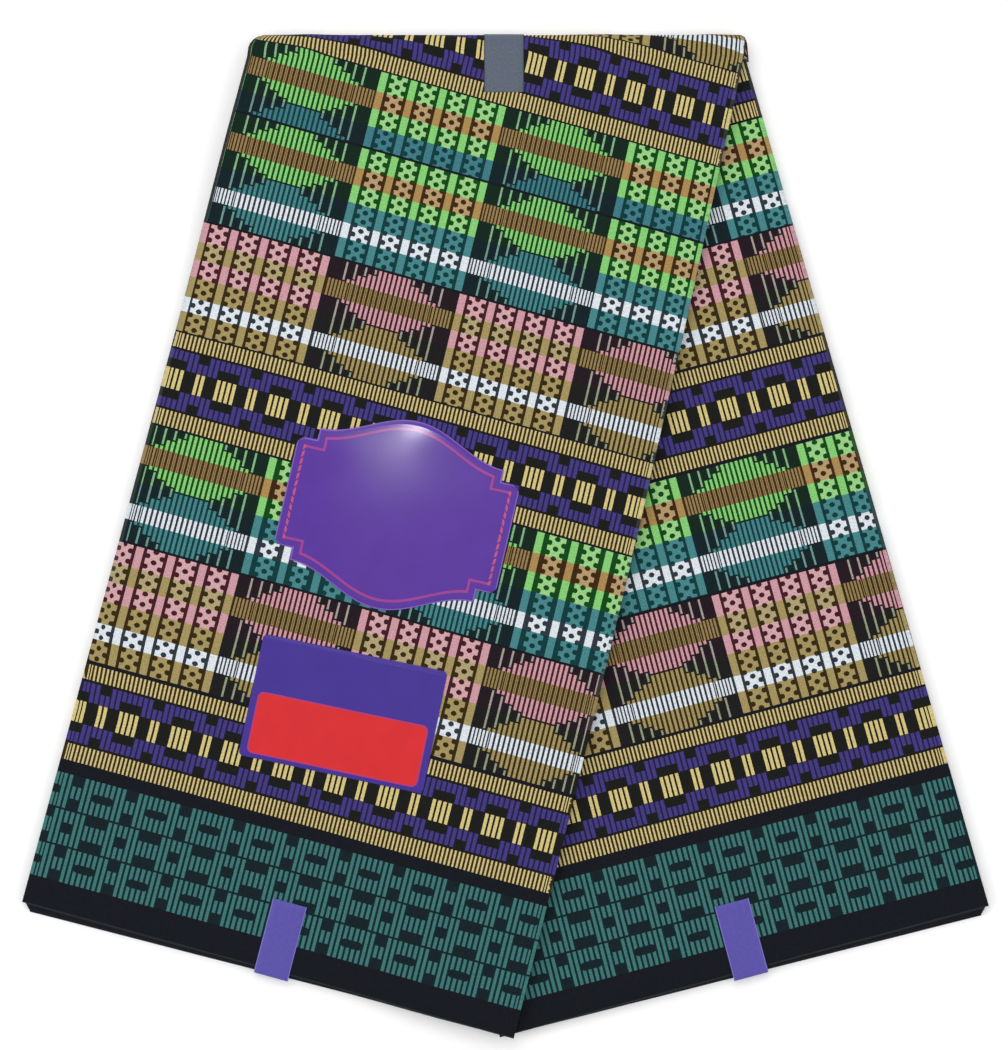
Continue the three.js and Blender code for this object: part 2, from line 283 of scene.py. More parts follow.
def printedCotton(name, leg):
    material, tree, shader = newMaterial(name)
    calc, paint = nodeBench(tree)
    rules = printRules
    chart = printLegs[leg]
    tint = {key: ink(*value) for key, value in inks.items()}

    millimetres, clothU, clothV = flatMillimetres(tree)
    stray = tree.nodes.new("ShaderNodeSeparateXYZ")
    tree.links.new(grain(tree, millimetres, *rules["strayGrain"]).outputs["Color"], stray.inputs[0])
    wobble = rules["wobble"]
    u = calc("ADD", clothU, calc("MULTIPLY_ADD", stray.outputs[0], wobble, -wobble / 2))
    v = calc("ADD", clothV, calc("MULTIPLY_ADD", stray.outputs[1], wobble, -wobble / 2))
    if chart["tilt"]:
        width, length = rules["panel"]
        slant = calc("MULTIPLY", calc("MULTIPLY_ADD", u, 1 / width, -rules["tiltFrom"]), v)
        v = calc("MULTIPLY_ADD", slant, chart["tilt"] / length, v)
    if chart["edgeStretch"]:
        most, reach, low, high = chart["edgeStretch"]
        ramp = tree.nodes.new("ShaderNodeMapRange")
        ramp.inputs["From Min"].default_value = low
        ramp.inputs["From Max"].default_value = high
        tree.links.new(v, ramp.inputs["Value"])
        pulled = calc("MAXIMUM", calc("MULTIPLY_ADD", u, -most / reach, most), 0.0)
        u = calc("MULTIPLY_ADD", pulled, ramp.outputs[0], u)

    def both(*masks):
        result = masks[0]
        for mask in masks[1:]:
            result = calc("MULTIPLY", result, mask)
        return result

    def either(first, second):
        return calc("MAXIMUM", first, second)

    def without(mask):
        return calc("SUBTRACT", 1.0, mask)

    def over(value, edge):
        return calc("GREATER_THAN", value, edge)

    def under(value, edge):
        return calc("LESS_THAN", value, edge)

    def within(value, low, high):
        return calc("COMPARE", value, (low + high) / 2, (high - low) / 2)

    def nearest(value, step):
        # distance to the nearest multiple of a step
        halfStep = calc("MULTIPLY", step, 0.5) if isinstance(step, bpy.types.NodeSocket) else step / 2
        return calc("PINGPONG", value, halfStep)

    def furthest(first, second, third):
        return calc("MAXIMUM", calc("MAXIMUM", first, second), third)

    def bars(value, step, share):
        return under(nearest(value, step), step * share / 2)

    def choose(values, steps):
        # a value that changes at each step up the cloth
        result = values[0]
        for index, step in enumerate(steps):
            change = values[index + 1] - values[index]
            if abs(change) > 1e-6:
                result = calc("MULTIPLY_ADD", step, change, result)
        return result

    def printOn(ground, region, gap, lit, colour):
        return paint(paint(ground, gap, region), colour, both(region, lit))

    mottled = grain(tree, millimetres, *rules["mottleGrain"])
    ground = paint(tint["navy"], tint["navyMottle"], mottled.outputs[0])

    # Fret border: three rows of bars, four split or short, two tall, two short or split
    fret = fretRules
    repeat, middle = chart["fret"]
    turns = calc("DIVIDE", calc("SUBTRACT", u, middle), repeat)
    side = nearest(turns, 1.0)
    quad, pair = under(side, rules["quad"]), over(side, rules["pair"])
    tall = both(without(quad), without(pair))
    middleRow = within(v, *fret["middleRow"])
    fromRow = nearest(calc("SUBTRACT", v, fret["middle"]), fret["rowStep"])
    slot = calc("MULTIPLY_ADD", over(side, fret["taperFrom"]), -fret["slotTaper"], fret["slot"])
    quadLit = either(both(middleRow, under(fromRow, fret["shortQuad"])),
                     both(without(middleRow), over(fromRow, slot)))
    pairLit = either(both(middleRow, over(fromRow, fret["splitPair"])),
                     both(without(middleRow), under(fromRow, fret["shortPair"])))
    shape = either(tall, either(both(quad, quadLit), both(pair, pairLit)))
    inRows = within(v, *fret["rows"])
    fretRegion = both(inRows, under(fromRow, fret["rowHalf"]), shape)
    fretBars = bars(calc("MULTIPLY_ADD", turns, 10, -0.5), 1.0, fret["bar"])
    colour = paint(ground, tint["fretGround"], both(inRows, fret["ground"]))
    colour = printOn(colour, fretRegion, tint["tealGap"], fretBars, tint["teal"])

    # Squares between gold edgings: four yellow bars, then two, with purple bars above and below
    square = squareRules
    squareSteps = [over(v, edge) for edge in chart["squareEdges"]]
    bottom, height, repeat, middle = (choose(values, squareSteps) for values in zip(*chart["squares"]))
    risen = calc("DIVIDE", calc("SUBTRACT", v, bottom), height)
    away = calc("MULTIPLY", calc("ABSOLUTE", calc("SUBTRACT", risen, square["middle"])), square["height"])
    turns = calc("DIVIDE", calc("SUBTRACT", u, middle), repeat)
    side = nearest(turns, 1.0)
    quad, pair = under(side, rules["quad"]), over(side, rules["pair"])
    step = calc("MULTIPLY_ADD", turns, 10, -0.5)
    inBand = within(risen, 0, 1)
    yellowRegion = both(inBand, under(away, square["yellow"]), either(quad, pair))
    innerEdge = calc("MULTIPLY_ADD", quad, square["quadInset"], square["purple"][0])
    outerEdge = calc("MULTIPLY_ADD", pair, -square["pairInset"], square["purple"][1])
    purpleRegion = both(inBand, over(away, innerEdge), under(away, outerEdge))
    goldRegion = both(inBand, over(away, square["gold"]))
    goldBars = bars(calc("MULTIPLY", turns, square["goldBars"]), 1.0, square["goldBar"])
    colour = paint(colour, tint["yellowGap"], inBand)
    colour = printOn(colour, yellowRegion, tint["yellowGap"], bars(step, 1.0, square["yellowBar"]), tint["yellow"])
    colour = printOn(colour, purpleRegion, tint["purpleGap"], bars(step, 1.0, square["purpleBar"]), tint["purple"])
    colour = printOn(colour, goldRegion, tint["goldGap"], goldBars, tint["gold"])

    # Blocks: a lens of stepped bars beside five stripes with lattice between them
    lens = lensRules
    blockSteps = [over(v, edge) for edge in chart["blockEdges"]]
    blockValues = (choose(values, blockSteps) for values in zip(*chart["blocks"]))
    bottom, height, middle, repeat, half, dotRows, dotStart = blockValues
    isGreen = choose(chart["greenBlocks"], blockSteps)
    risen = calc("DIVIDE", calc("SUBTRACT", v, bottom), height)
    inBand = within(risen, 0, 1)
    fromLens = nearest(calc("SUBTRACT", u, middle), repeat)
    inLens = under(fromLens, half)
    upper = over(risen, 0.5)
    bandMiddle = calc("MULTIPLY_ADD", upper, lens["bands"][1], lens["bands"][0])
    bandHalf = calc("MULTIPLY_ADD", upper, lens["bandHalf"][1], lens["bandHalf"][0])
    fromBand = calc("ABSOLUTE", calc("SUBTRACT", risen, bandMiddle))
    fullBand = under(fromBand, bandHalf)
    reach = calc("DIVIDE", calc("SUBTRACT", fromBand, bandHalf), lens["reach"])

    # colours of the six parts of a block, from the bottom up
    sea = paint(tint["sea"], tint["blueSea"], both(isGreen, over(v, lens["blueFrom"])))
    low = paint(tint["olive"], sea, isGreen)
    high = paint(tint["pink"], tint["green"], isGreen)
    belt = paint(tint["olive"], tint["sand"], isGreen)
    lowGap = paint(tint["oliveGap"], tint["seaGap"], isGreen)
    highGap = paint(tint["pinkGap"], tint["greenGap"], isGreen)
    beltGap = paint(tint["oliveGap"], tint["sandGap"], isGreen)
    part = paint(paint(low, tint["white"], fullBand), paint(high, belt, fullBand), upper)
    gap = paint(paint(lowGap, tint["whiteGap"], fullBand), paint(highGap, beltGap, fullBand), upper)

    # the lens
    limit = lens["start"]
    for edge, change in lens["steps"]:
        limit = calc("MULTIPLY_ADD", over(fromLens, edge), change, limit)
    steppedRegion = both(under(reach, limit), without(within(risen, *lens["seamLine"])), without(fullBand))
    stepped = both(steppedRegion, bars(fromLens, lens["bar"], lens["steppedBar"]))
    fineStep = calc("MULTIPLY_ADD", over(fromLens, lens["fineFrom"]), -lens["fineLess"], lens["bar"])
    fromBar = nearest(fromLens, fineStep)
    fineBars = under(fromBar, calc("MULTIPLY", fineStep, lens["fineBar"]))
    split = both(upper, under(fromBar, lens["split"]), under(fromLens, lens["fineFrom"]))
    fine = both(fullBand, fineBars, under(fromLens, calc("SUBTRACT", half, lens["fineEnd"])),
                calc("MULTIPLY_ADD", split, -lens["splitDepth"], 1.0))
    thin = both(bars(fromLens, lens["thinStep"], lens["thinBar"]), within(fromLens, *lens["thinSpan"]),
                over(reach, calc("ADD", limit, lens["thinClear"])))
    lensPart = paint(part, tint["belt"], both(fullBand, upper))
    lensGround = paint(paint(tint["navy"], gap, lens["groundTint"]), gap, either(steppedRegion, fullBand))
    lensColour = paint(lensGround, lensPart, either(stepped, fine))
    lensColour = paint(lensColour, paint(part, tint["pale"], lens["thinPale"]), thin)

    # the stripes, and between them the lattice: dots up its middle and notches in its sides
    lattice = latticeRules
    stripeHalf = lattice["stripe"] / 2
    fromFirst = calc("SUBTRACT", calc("SUBTRACT", fromLens, half), stripeHalf)
    blockHalf = calc("SUBTRACT", calc("MULTIPLY", repeat, 0.5), half)
    stripeStep = calc("MULTIPLY", calc("SUBTRACT", blockHalf, stripeHalf), 0.5)
    fromStripe = nearest(fromFirst, stripeStep)
    stripes = under(fromStripe, stripeHalf)
    fromColumn = calc("SUBTRACT", calc("MULTIPLY", stripeStep, 0.5), fromStripe)
    fromBorder = calc("SUBTRACT", lattice["half"], fromColumn)
    dotPitch = calc("DIVIDE", height, dotRows)
    dotTurns = calc("SUBTRACT", calc("MULTIPLY", risen, dotRows), dotStart)
    fromDots = calc("MULTIPLY", nearest(dotTurns, 1.0), dotPitch)
    fromNotch = calc("MULTIPLY_ADD", dotPitch, 0.5, calc("MULTIPLY", fromDots, -1.0))

    def cornered(first, second, sizes, corner):
        # a small block with its corners cut off
        return under(furthest(calc("DIVIDE", first, sizes[0]), calc("DIVIDE", second, sizes[1]),
                              calc("DIVIDE", calc("ADD", first, second), corner)), 1.0)

    dots = cornered(fromColumn, fromDots, lattice["dot"], lattice["dotCorner"])
    notches = cornered(fromBorder, fromNotch, lattice["notch"], lattice["notchCorner"])
    latticeLit = both(over(fromBorder, 0.0), without(dots), without(notches))
    latticeInk = paint(part, tint["latticePale"], calc("MULTIPLY", upper, lattice["pale"]))
    stripeColour = paint(paint(gap, part, stripes), latticeInk, latticeLit)

    blockColour = paint(stripeColour, lensColour, inLens)
    # painted shade: navy is painted over the green blocks' first stripe where the cloth turns away at the left edge
    if leg == "front":
        darkFrom, darkWidth = lattice["paintedEdgeShade"]
        blockColour = paint(blockColour, tint["navy"], both(isGreen, over(v, darkFrom), under(u, darkWidth)))
    colour = paint(colour, blockColour, inBand)

    # painted highlight: the folded sides, where the cloth turns down, and a thin line along the hem are painted a
    # little paler
    fromMiddle = calc("ABSOLUTE", calc("SUBTRACT", clothU, rules["panel"][0] / 2))
    paintedSideHighlight = both(within(fromMiddle, *rules["paintedSideHighlight"]), over(v, rules["paintedSideHighlightFrom"]))
    paintedHemHighlight = both(within(clothV, *rules["paintedHemHighlight"]), rules["paintedHemHighlightShare"])
    colour = paint(colour, tint["paintedEdgeHighlight"], calc("MULTIPLY", either(paintedSideHighlight, paintedHemHighlight), rules["paintedEdgeHighlight"]))

    # yarns, uneven ink and a faint pale painted sheen speckled all over the cloth
    fibre = grain(tree, millimetres, *rules["fibreGrain"]).outputs[0]
    colour = scaleColour(tree, colour, fibre, rules["fibre"][:2], rules["fibre"][2:])
    # a faint pale painted sheen, speckled by noise
    paintedSheenSpeckle = calc("MULTIPLY", grain(tree, millimetres, *rules["paintedSheenGrain"]).outputs[0], rules["paintedSheenSpeckle"])
    tree.links.new(paint(colour, tint["paintedSheenSpeckle"], paintedSheenSpeckle), shader.inputs["Base Color"])

    yarn = 2 * math.pi / rules["weave"]
    warp = calc("SINE", calc("MULTIPLY", clothU, yarn))
    weft = calc("SINE", calc("MULTIPLY", clothV, yarn))
    weave = calc("MULTIPLY", warp, weft)
    rumple = grain(tree, millimetres, *rules["rumpleGrain"])
    soft = bump(tree, rumple.outputs[0], *rules["rumpleBump"], shader)
    bump(tree, calc("ADD", weave, calc("MULTIPLY", fibre, rules["fibreInWeave"])), *rules["fibreBump"], shader, soft)
    shader.inputs["Roughness"].default_value = rules["roughness"]
    shader.inputs["Specular IOR Level"].default_value = rules["specular"]
    shader.inputs["Sheen Weight"].default_value = rules["sheen"]
    shader.inputs["Sheen Roughness"].default_value = rules["sheenRoughness"]
    return material


frontPrint = printedCotton("frontPrintedCotton", "front")
backPrint = printedCotton("backPrintedCotton", "back")
print("printed cotton mixed")


# Papers and foils. Each reads its own flat coordinates in millimetres, and a label's start at its middle.
def labelBench(name):
    material, tree, shader = newMaterial(name)
    return (material, tree, shader) + flatMillimetres(tree)


def uneven(tree, vector, colour, scale, low, high):
    spots = grain(tree, vector, scale, 3.0).outputs[0]
    return scaleColour(tree, colour, spots, (0, 1), (low, high)), spots


def setGloss(shader, look):
    shader.inputs["Roughness"].default_value = look["roughness"]
    shader.inputs["Specular IOR Level"].default_value = look["specular"]
    shader.inputs["Coat Weight"].default_value = look["coat"]
    shader.inputs["Coat Roughness"].default_value = look["coatRoughness"]


plaquePaperLook = {
    # edge is the colour of a painted glint along the paper's cut edge
    "paper": (80, 44, 144), "line": (156, 58, 128), "dashes": (190, 78, 108), "edge": (138, 104, 190),
    "inset": 4.4, "lineWidth": 1.5, "dash": 4.6, "dashShare": 0.36, "drawn": 0.85, "glintWidth": 0.7, "glintShare": 0.6,
    "crestInset": 1.08, "tabMargin": 0.3, "uneven": (0.05, 0.88, 1.1), "bump": (0.12, 0.0015),
    "roughness": 0.3, "specular": 0.06, "coat": 0.42, "coatRoughness": 0.09,
}


def plaquePaper():
    look = plaquePaperLook
    material, tree, shader, vector, x, y = labelBench("plaquePaper")
    calc, paint = nodeBench(tree)
    farX, farY = calc("ABSOLUTE", x), calc("ABSOLUTE", y)
    shoulderX, shoulderY = plaque["shoulder"]
    crest = calc("MULTIPLY_ADD", calc("COSINE", calc("MULTIPLY", farX, math.pi / shoulderX)),
                 (plaque["crest"] - shoulderY) / 2, (plaque["crest"] + shoulderY) / 2)

    def insideBy(inset):
        inCrest = calc("MULTIPLY", calc("LESS_THAN", farX, shoulderX - inset),
                       calc("LESS_THAN", farY, calc("SUBTRACT", crest, inset * look["crestInset"])))
        inTab = calc("MULTIPLY", calc("LESS_THAN", farX, plaque["halfWidth"] - inset),
                     calc("LESS_THAN", farY, plaque["tab"] - inset))
        return calc("MAXIMUM", inCrest, inTab)

    line = calc("SUBTRACT", insideBy(look["inset"]), insideBy(look["inset"] + look["lineWidth"]))
    travelled = calc("ADD", farX, farY)
    dashes = calc("LESS_THAN", calc("PINGPONG", travelled, look["dash"] / 2), look["dash"] * look["dashShare"])
    onTab = calc("GREATER_THAN", farX, plaque["halfWidth"] - look["inset"] - look["lineWidth"] - look["tabMargin"])
    drawn = calc("MULTIPLY", line, calc("MAXIMUM", dashes, calc("SUBTRACT", 1.0, onTab)))
    lineInk = paint(ink(*look["line"]), ink(*look["dashes"]), onTab)
    colour = paint(ink(*look["paper"]), lineInk, calc("MULTIPLY", drawn, look["drawn"]))
    # painted glint: the paper is painted lighter in a thin band along its cut edge
    paintedEdgeGlint = calc("MULTIPLY_ADD", insideBy(look["glintWidth"]), -look["glintShare"], look["glintShare"])
    colour = paint(colour, ink(*look["edge"]), paintedEdgeGlint)
    shaded, spots = uneven(tree, vector, colour, *look["uneven"])
    tree.links.new(shaded, shader.inputs["Base Color"])
    bump(tree, spots, *look["bump"], shader)
    setGloss(shader, look)
    return material


careLook = {
    "violet": (58, 38, 134), "red": (200, 32, 36), "trim": (158, 48, 112),
    "split": 0.46, "panelHalf": 52.8, "panelBottom": 2.6, "corner": 4.0, "trimWidth": 0.8,
    "uneven": (0.06, 0.9, 1.1), "bump": (0.1, 0.001),
    "roughness": 0.4, "specular": 0.2, "coat": 0.1, "coatRoughness": 0.2,
}


def carePaper():
    look = careLook
    material, tree, shader, vector, x, y = labelBench("carePaper")
    calc, paint = nodeBench(tree)
    top = careLabel["height"] * (0.5 - look["split"])
    bottom = -careLabel["height"] / 2 + look["panelBottom"]
    middle, halfTall = (top + bottom) / 2, (top - bottom) / 2
    corner = look["corner"]
    pastX = calc("MAXIMUM", calc("SUBTRACT", calc("ABSOLUTE", x), look["panelHalf"] - corner), 0.0)
    pastY = calc("MAXIMUM", calc("SUBTRACT", calc("ABSOLUTE", calc("SUBTRACT", y, middle)), halfTall - corner), 0.0)
    distance = calc("SQRT", calc("ADD", calc("MULTIPLY", pastX, pastX), calc("MULTIPLY", pastY, pastY)))
    colour = paint(ink(*look["violet"]), ink(*look["trim"]), calc("LESS_THAN", distance, corner))
    colour = paint(colour, ink(*look["red"]), calc("LESS_THAN", distance, corner - look["trimWidth"]))
    shaded, spots = uneven(tree, vector, colour, *look["uneven"])
    tree.links.new(shaded, shader.inputs["Base Color"])
    bump(tree, spots, *look["bump"], shader)
    setGloss(shader, look)
    return material


foilLooks = {
    "crown": {"name": "greyFoil", "face": (80, 89, 104), "edge": (52, 58, 70), "half": 12.2,
              "roughness": 0.5, "grainSize": 0.9, "grain": 0.45},
    "hem": {"name": "violetFoil", "face": (80, 70, 156), "edge": (112, 104, 184), "half": 10.6,
            "roughness": 0.45, "grainSize": 0.4, "grain": 0.2},
    "rim": 0.6, "rolled": 5.2, "softBump": (0.15, 0.001), "rolledBump": (0.25, 0.0001), "specular": 0.3,
}


def sealFoil(look):
    # a fine rolled grain, with a rim along both sides
    material, tree, shader, vector, x, y = labelBench(look["name"])
    calc, paint = nodeBench(tree)
    rim = calc("GREATER_THAN", calc("ABSOLUTE", x), look["half"] - foilLooks["rim"])
    colour = paint(ink(*look["face"]), ink(*look["edge"]), rim)
    shaded, spots = uneven(tree, vector, colour, look["grainSize"], 1 - look["grain"], 1 + look["grain"])
    tree.links.new(shaded, shader.inputs["Base Color"])
    rolled = calc("SINE", calc("MULTIPLY", calc("ADD", x, y), foilLooks["rolled"]))
    crossed = calc("SINE", calc("MULTIPLY", calc("SUBTRACT", x, y), foilLooks["rolled"]))
    soft = bump(tree, spots, *foilLooks["softBump"], shader)
    bump(tree, calc("MULTIPLY", rolled, crossed), *foilLooks["rolledBump"], shader, soft)
    shader.inputs["Roughness"].default_value = look["roughness"]
    shader.inputs["Specular IOR Level"].default_value = foilLooks["specular"]
    return material


# The folded strip. Each leg as seen from above: start of its hem, hem width and angle, and each side's lean.
stripForm = {
    "width": 305, "layers": 5.5, "seam": 0.35, "panel": 1.15, "restGap": 0.35,
    "slopeStart": 16, "slopeWidth": 80, "cover": (4, 16),        # beside the leg above or below
}
turnForm = {
    "start": -11.3, "stretch": 2.1,                              # the pressed turn at the top
    "leftCorner": 10.0, "rightCorner": 4.5, "cornerShare": 0.12,
    "draw": (8.2, 6.0, 4.4, 4.2, 4.0, 3.8, 3.7, 3.6, 3.5),       # print drawn over the turn, from left to right
}
legHeight = stripForm["layers"] + stripForm["seam"] + stripForm["panel"]
raised = legHeight + stripForm["restGap"]
crownRadius = (legHeight + raised) / 2
turnEdge = turnForm["start"] + turnForm["stretch"] * crownRadius
turnRate = math.sqrt((1 + turnForm["stretch"] ** 2) / 2)   # cloth per radian of the turn, for a radius of 1
legs = {
    "front": {"hemStart": (-290.5, -526.0), "hemWidth": 307, "hemAngle": -15.2,
              "lean": (14.5, 13.35), "bow": 3.4, "outer": "left"},
    "back": {"hemStart": (-2.5, -606.8), "hemWidth": 305, "hemAngle": 14.9,
             "lean": (-14.2, -15.5), "bow": 0.0, "outer": "right"},
}

# Soft creases and puckers: from (across 0-1, up from the hem), to the same, width and height in mm.
# swell: height and scale of the gentle rise and fall between them.
creases = {
    "swell": (0.10, 0.02), "swellPlace": {"front": 3.0, "back": 8.0}, "lowest": -0.27,
    "front": [
        (0.08, 70, 0.30, 190, 20, 0.55), (0.62, 30, 0.50, 150, 24, 0.50), (0.95, 120, 0.78, 210, 16, 0.45),
        (0.10, 330, 0.34, 300, 14, -0.22), (0.03, 250, 0.16, 380, 18, 0.60), (0.86, 300, 0.97, 430, 15, 0.55),
        (0.55, 350, 0.72, 470, 26, 0.50), (0.20, 430, 0.40, 520, 20, 0.55), (0.90, 500, 0.70, 590, 16, 0.70),
        (0.48, 500, 0.60, 585, 12, -0.24), (0.30, 90, 0.45, 40, 12, -0.22), (0.98, 20, 0.88, 90, 14, 0.60),
        (0.02, 480, 0.12, 538, 10, 0.80), (0.98, 590, 0.90, 618, 10, 0.70),
    ],
    "back": [
        (0.95, 80, 0.80, 200, 18, 0.55), (0.55, 60, 0.66, 150, 20, 0.45), (0.98, 250, 0.86, 380, 16, 0.55),
        (0.90, 420, 0.99, 520, 12, 0.50), (0.30, 30, 0.42, 100, 14, -0.20), (0.72, 230, 0.88, 300, 12, -0.22),
    ],
}


def threadLine(leg, across):
    angle = math.radians(leg["hemAngle"])
    x = leg["hemStart"][0] + across * leg["hemWidth"] * math.cos(angle)
    y = leg["hemStart"][1] + across * leg["hemWidth"] * math.sin(angle)
    lean = math.radians(lerp(*leg["lean"], across))
    return x, y, lean, (turnForm["start"] - y) / math.cos(lean)


def cornerTuck(across, y):
    # the ends of the turn are rounded off, more at the left
    tuck = 0
    for corner, share in ((turnForm["leftCorner"], across), (turnForm["rightCorner"], 1 - across)):
        into = clamp((y - turnEdge + corner) / corner)
        inset = corner * (1 - math.sqrt(1 - into * into)) * max(0.0, 1 - share / turnForm["cornerShare"]) ** 2
        tuck += inset if share == across else -inset
    return tuck


def legPlan(leg, across, up):
    x, y, lean, length = threadLine(leg, across)
    angle = math.radians(leg["hemAngle"])
    bow = across * leg["bow"] * math.sin(math.pi * clamp(up / length))
    return x + up * math.sin(lean) + bow * math.cos(angle), y + up * math.cos(lean) + bow * math.sin(angle)


def frontUnderside(x, y):
    # the front leg rests on the back leg, and slopes down to the floor beside it
    edgeX, edgeY, lean, _ = threadLine(legs["back"], 0)
    beside = (x - edgeX) * math.cos(lean) - (y - edgeY) * math.sin(lean)
    return raised * easeInOut(beside, -stripForm["slopeStart"] - stripForm["slopeWidth"], -stripForm["slopeStart"])


def creaseLift(name, across, up):
    here = Vector((across * stripForm["width"], up))
    swell, scale = creases["swell"]
    lift = swell * noise.noise(Vector((here.x * scale, here.y * scale, creases["swellPlace"][name])))
    for startAcross, startUp, endAcross, endUp, width, height in creases[name]:
        start = Vector((startAcross * stripForm["width"], startUp))
        line = Vector((endAcross * stripForm["width"], endUp)) - start
        share = clamp((here - start).dot(line) / line.length_squared)
        gap = (here - start - line * share).length
        lift += height * math.exp(-(gap / width) ** 2)
    return max(lift, creases["lowest"])


def frontPoint(across, up, turn, height):
    x, _, lean, length = threadLine(legs["front"], across)
    height += creaseLift("front", across, up) * height / legHeight * (1 - turn / math.pi) ** 2
    if turn == 0:
        planX, planY = legPlan(legs["front"], across, up)
        return planX + cornerTuck(across, planY), planY, frontUnderside(planX, planY) + height
    radius = stripForm["restGap"] / 2 + height
    foldX = x + length * math.sin(lean) + turn * turnRate * (legHeight / 2) * math.tan(lean)
    foldY = turnForm["start"] + turnForm["stretch"] * radius * math.sin(turn)
    return foldX + cornerTuck(across, foldY), foldY, crownRadius + radius * math.cos(turn)


def coveredShare(x, y):
    # 1 where the front leg lies on the back leg, 0 well to the right of it
    edgeX, edgeY, lean, _ = threadLine(legs["front"], 1)
    beside = (x - edgeX) * math.cos(lean) - (y - edgeY) * math.sin(lean)
    return 1 - easeInOut(beside, *stripForm["cover"])


def backPoint(across, up, turn, height):
    x, y = legPlan(legs["back"], across, up)
    lift = creaseLift("back", across, up)
    lift = lerp(lift, min(lift, 0.0), coveredShare(x, y))
    return x, y, height + lift * height / legHeight


# One closed slab: a grid whose outer cells run down its rounded edge, and a second grid for its underside
def slabForm(columns, rows, levels, point):
    form = bmesh.new()
    across = form.verts.layers.float.new("across")
    up = form.verts.layers.float.new("up")
    last = levels - 1

    def layGrid(border, fixedLevel=None):
        wide, tall = columns + 2 * border, rows + 2 * border
        for vert in bmesh.ops.create_grid(form, x_segments=wide, y_segments=tall, size=0.5)["verts"]:
            i = round((vert.co.x + 0.5) * wide) - border
            j = round((vert.co.y + 0.5) * tall) - border
            level = max(0, -i, i - columns, -j, j - rows) if fixedLevel is None else fixedLevel
            spot, flat = point(int(clamp(i, 0, columns)), int(clamp(j, 0, rows)), level)
            vert.co = place(*spot)
            vert[across], vert[up] = flat[0] * layout["metre"], flat[1] * layout["metre"]

    layGrid(last)
    layGrid(0, last)
    bmesh.ops.remove_doubles(form, verts=form.verts, dist=layout["weld"])
    bmesh.ops.recalc_face_normals(form, faces=form.faces)
    uvLayer = form.loops.layers.uv.new("print")
    for face in form.faces:
        face.smooth = True
        for loop in face.loops:
            loop[uvLayer].uv = (loop.vert[across], loop.vert[up])
    return form


def finishPiece(name, form, material, node, sharpAngle=None):
    mesh = bpy.data.meshes.new(name)
    form.to_mesh(mesh)
    form.free()
    if sharpAngle:
        mesh.set_sharp_from_angle(angle=math.radians(sharpAngle))
    piece = bpy.data.objects.new(name, mesh)
    bpy.context.scene.collection.objects.link(piece)
    mesh.materials.append(material)
    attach(piece, "root")
    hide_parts(node)
    return piece


clothForm = {
    "front": {"columns": 60, "rows": 116, "turn": 14}, "back": {"columns": 60, "rows": 116, "turn": 0},
    "sideRim": 1.9, "hemRim": 0.45, "rimSteps": 8, "folds": 9, "foldDepth": 0.5, "foldUneven": 0.45,
    "strayNoise": (0.018, 2.7, 1.5), "foldProfile": ((0.0, 1.0), (0.18, 0.25), (0.5, 0.0), (0.82, 0.25)),
    "peep": (0.2, 0.6, 0.85, 1.0), "tuck": (0.25, 0.6, 0.8, 1.0),
    "hemPeep": (0.6, 5.5), "sideTuck": (0.8, 6.0), "tuckFade": 260, "hemStray": 40,
}


def rimLevels():
    # half-round edge of the panel that shows
    base = stripForm["layers"] + stripForm["seam"]
    levels = []
    for index in range(clothForm["rimSteps"] + 1):
        turn = math.pi * index / clothForm["rimSteps"]
        levels.append({"height": base + stripForm["panel"] * (1 + math.cos(turn)) / 2, "back": 1 - math.sin(turn)})
    return levels


def foldLevels():
    # rounded folds of the hidden layers, from the top one down
    levels = []
    folds = clothForm["folds"]
    step = stripForm["layers"] / folds
    for index in range(folds):
        share = index / (folds - 1)
        peep, tuck = along(clothForm["peep"], share), along(clothForm["tuck"], share)
        for drop, back in clothForm["foldProfile"]:
            height = stripForm["layers"] - (index + drop) * step
            levels.append({"height": height, "back": back, "peep": peep, "tuck": tuck, "fold": index})
    levels.append({"height": 0.0, "back": 1.0, "peep": 1.0, "tuck": 1.0, "fold": folds - 1})
    return levels


def clothSlab(legName, levels, point):
    leg, size = legs[legName], clothForm[legName]
    columns, rows = size["columns"], size["rows"] + size["turn"]
    outerLeft = leg["outer"] == "left"

    def edgeStray(level, travelled):
        # each fold stands back a little more or less along its way
        if "fold" not in level:
            return 0.0
        scale, spread, start = clothForm["strayNoise"]
        share = 0.5 + 0.5 * noise.noise(Vector((travelled * scale, level["fold"] * spread, start)))
        return clothForm["foldUneven"] * share

    def edgePoint(i, j, levelIndex):
        level = levels[levelIndex]
        across = i / columns
        length = threadLine(leg, across)[3]
        up = min(j / size["rows"], 1) * length
        turn = max(0, j - size["rows"]) / max(size["turn"], 1) * math.pi
        u = across * stripForm["width"]
        v = up + turn * turnRate * legHeight + along(turnForm["draw"], across) * math.sin(min(turn, math.pi / 2)) ** 2
        drop = levels[0]["height"] - level["height"]
        sideBack = clothForm["foldDepth" if "fold" in level else "sideRim"]
        hemBack = clothForm["foldDepth" if "fold" in level else "hemRim"]
        if i in (0, columns):
            fade = clamp(1 - up / clothForm["tuckFade"])
            outer = outerLeft == (i == 0)
            deep = (clothForm["sideTuck"][1] - clothForm["sideTuck"][0]) * fade * fade if outer else 0
            tuck = clothForm["sideTuck"][0] + deep * level["tuck"] if "tuck" in level else 0
            inward = level["back"] * sideBack + tuck + edgeStray(level, v)
            across += (1 if i == 0 else -1) * inward / leg["hemWidth"]
            u += (-1 if i == 0 else 1) * drop
        if j == 0:
            share = 1 - i / columns if outerLeft else i / columns
            peep = lerp(*clothForm["hemPeep"], share) * level["peep"] if "peep" in level else 0
            up = level["back"] * hemBack + edgeStray(level, u + clothForm["hemStray"]) - peep
            v = -drop
        if size["turn"] == 0 and j == rows:
            up -= stripForm["seam"] + level["back"] * hemBack
        return point(across, up, turn, level["height"]), (u, v)

    return slabForm(columns, rows, len(levels), edgePoint)


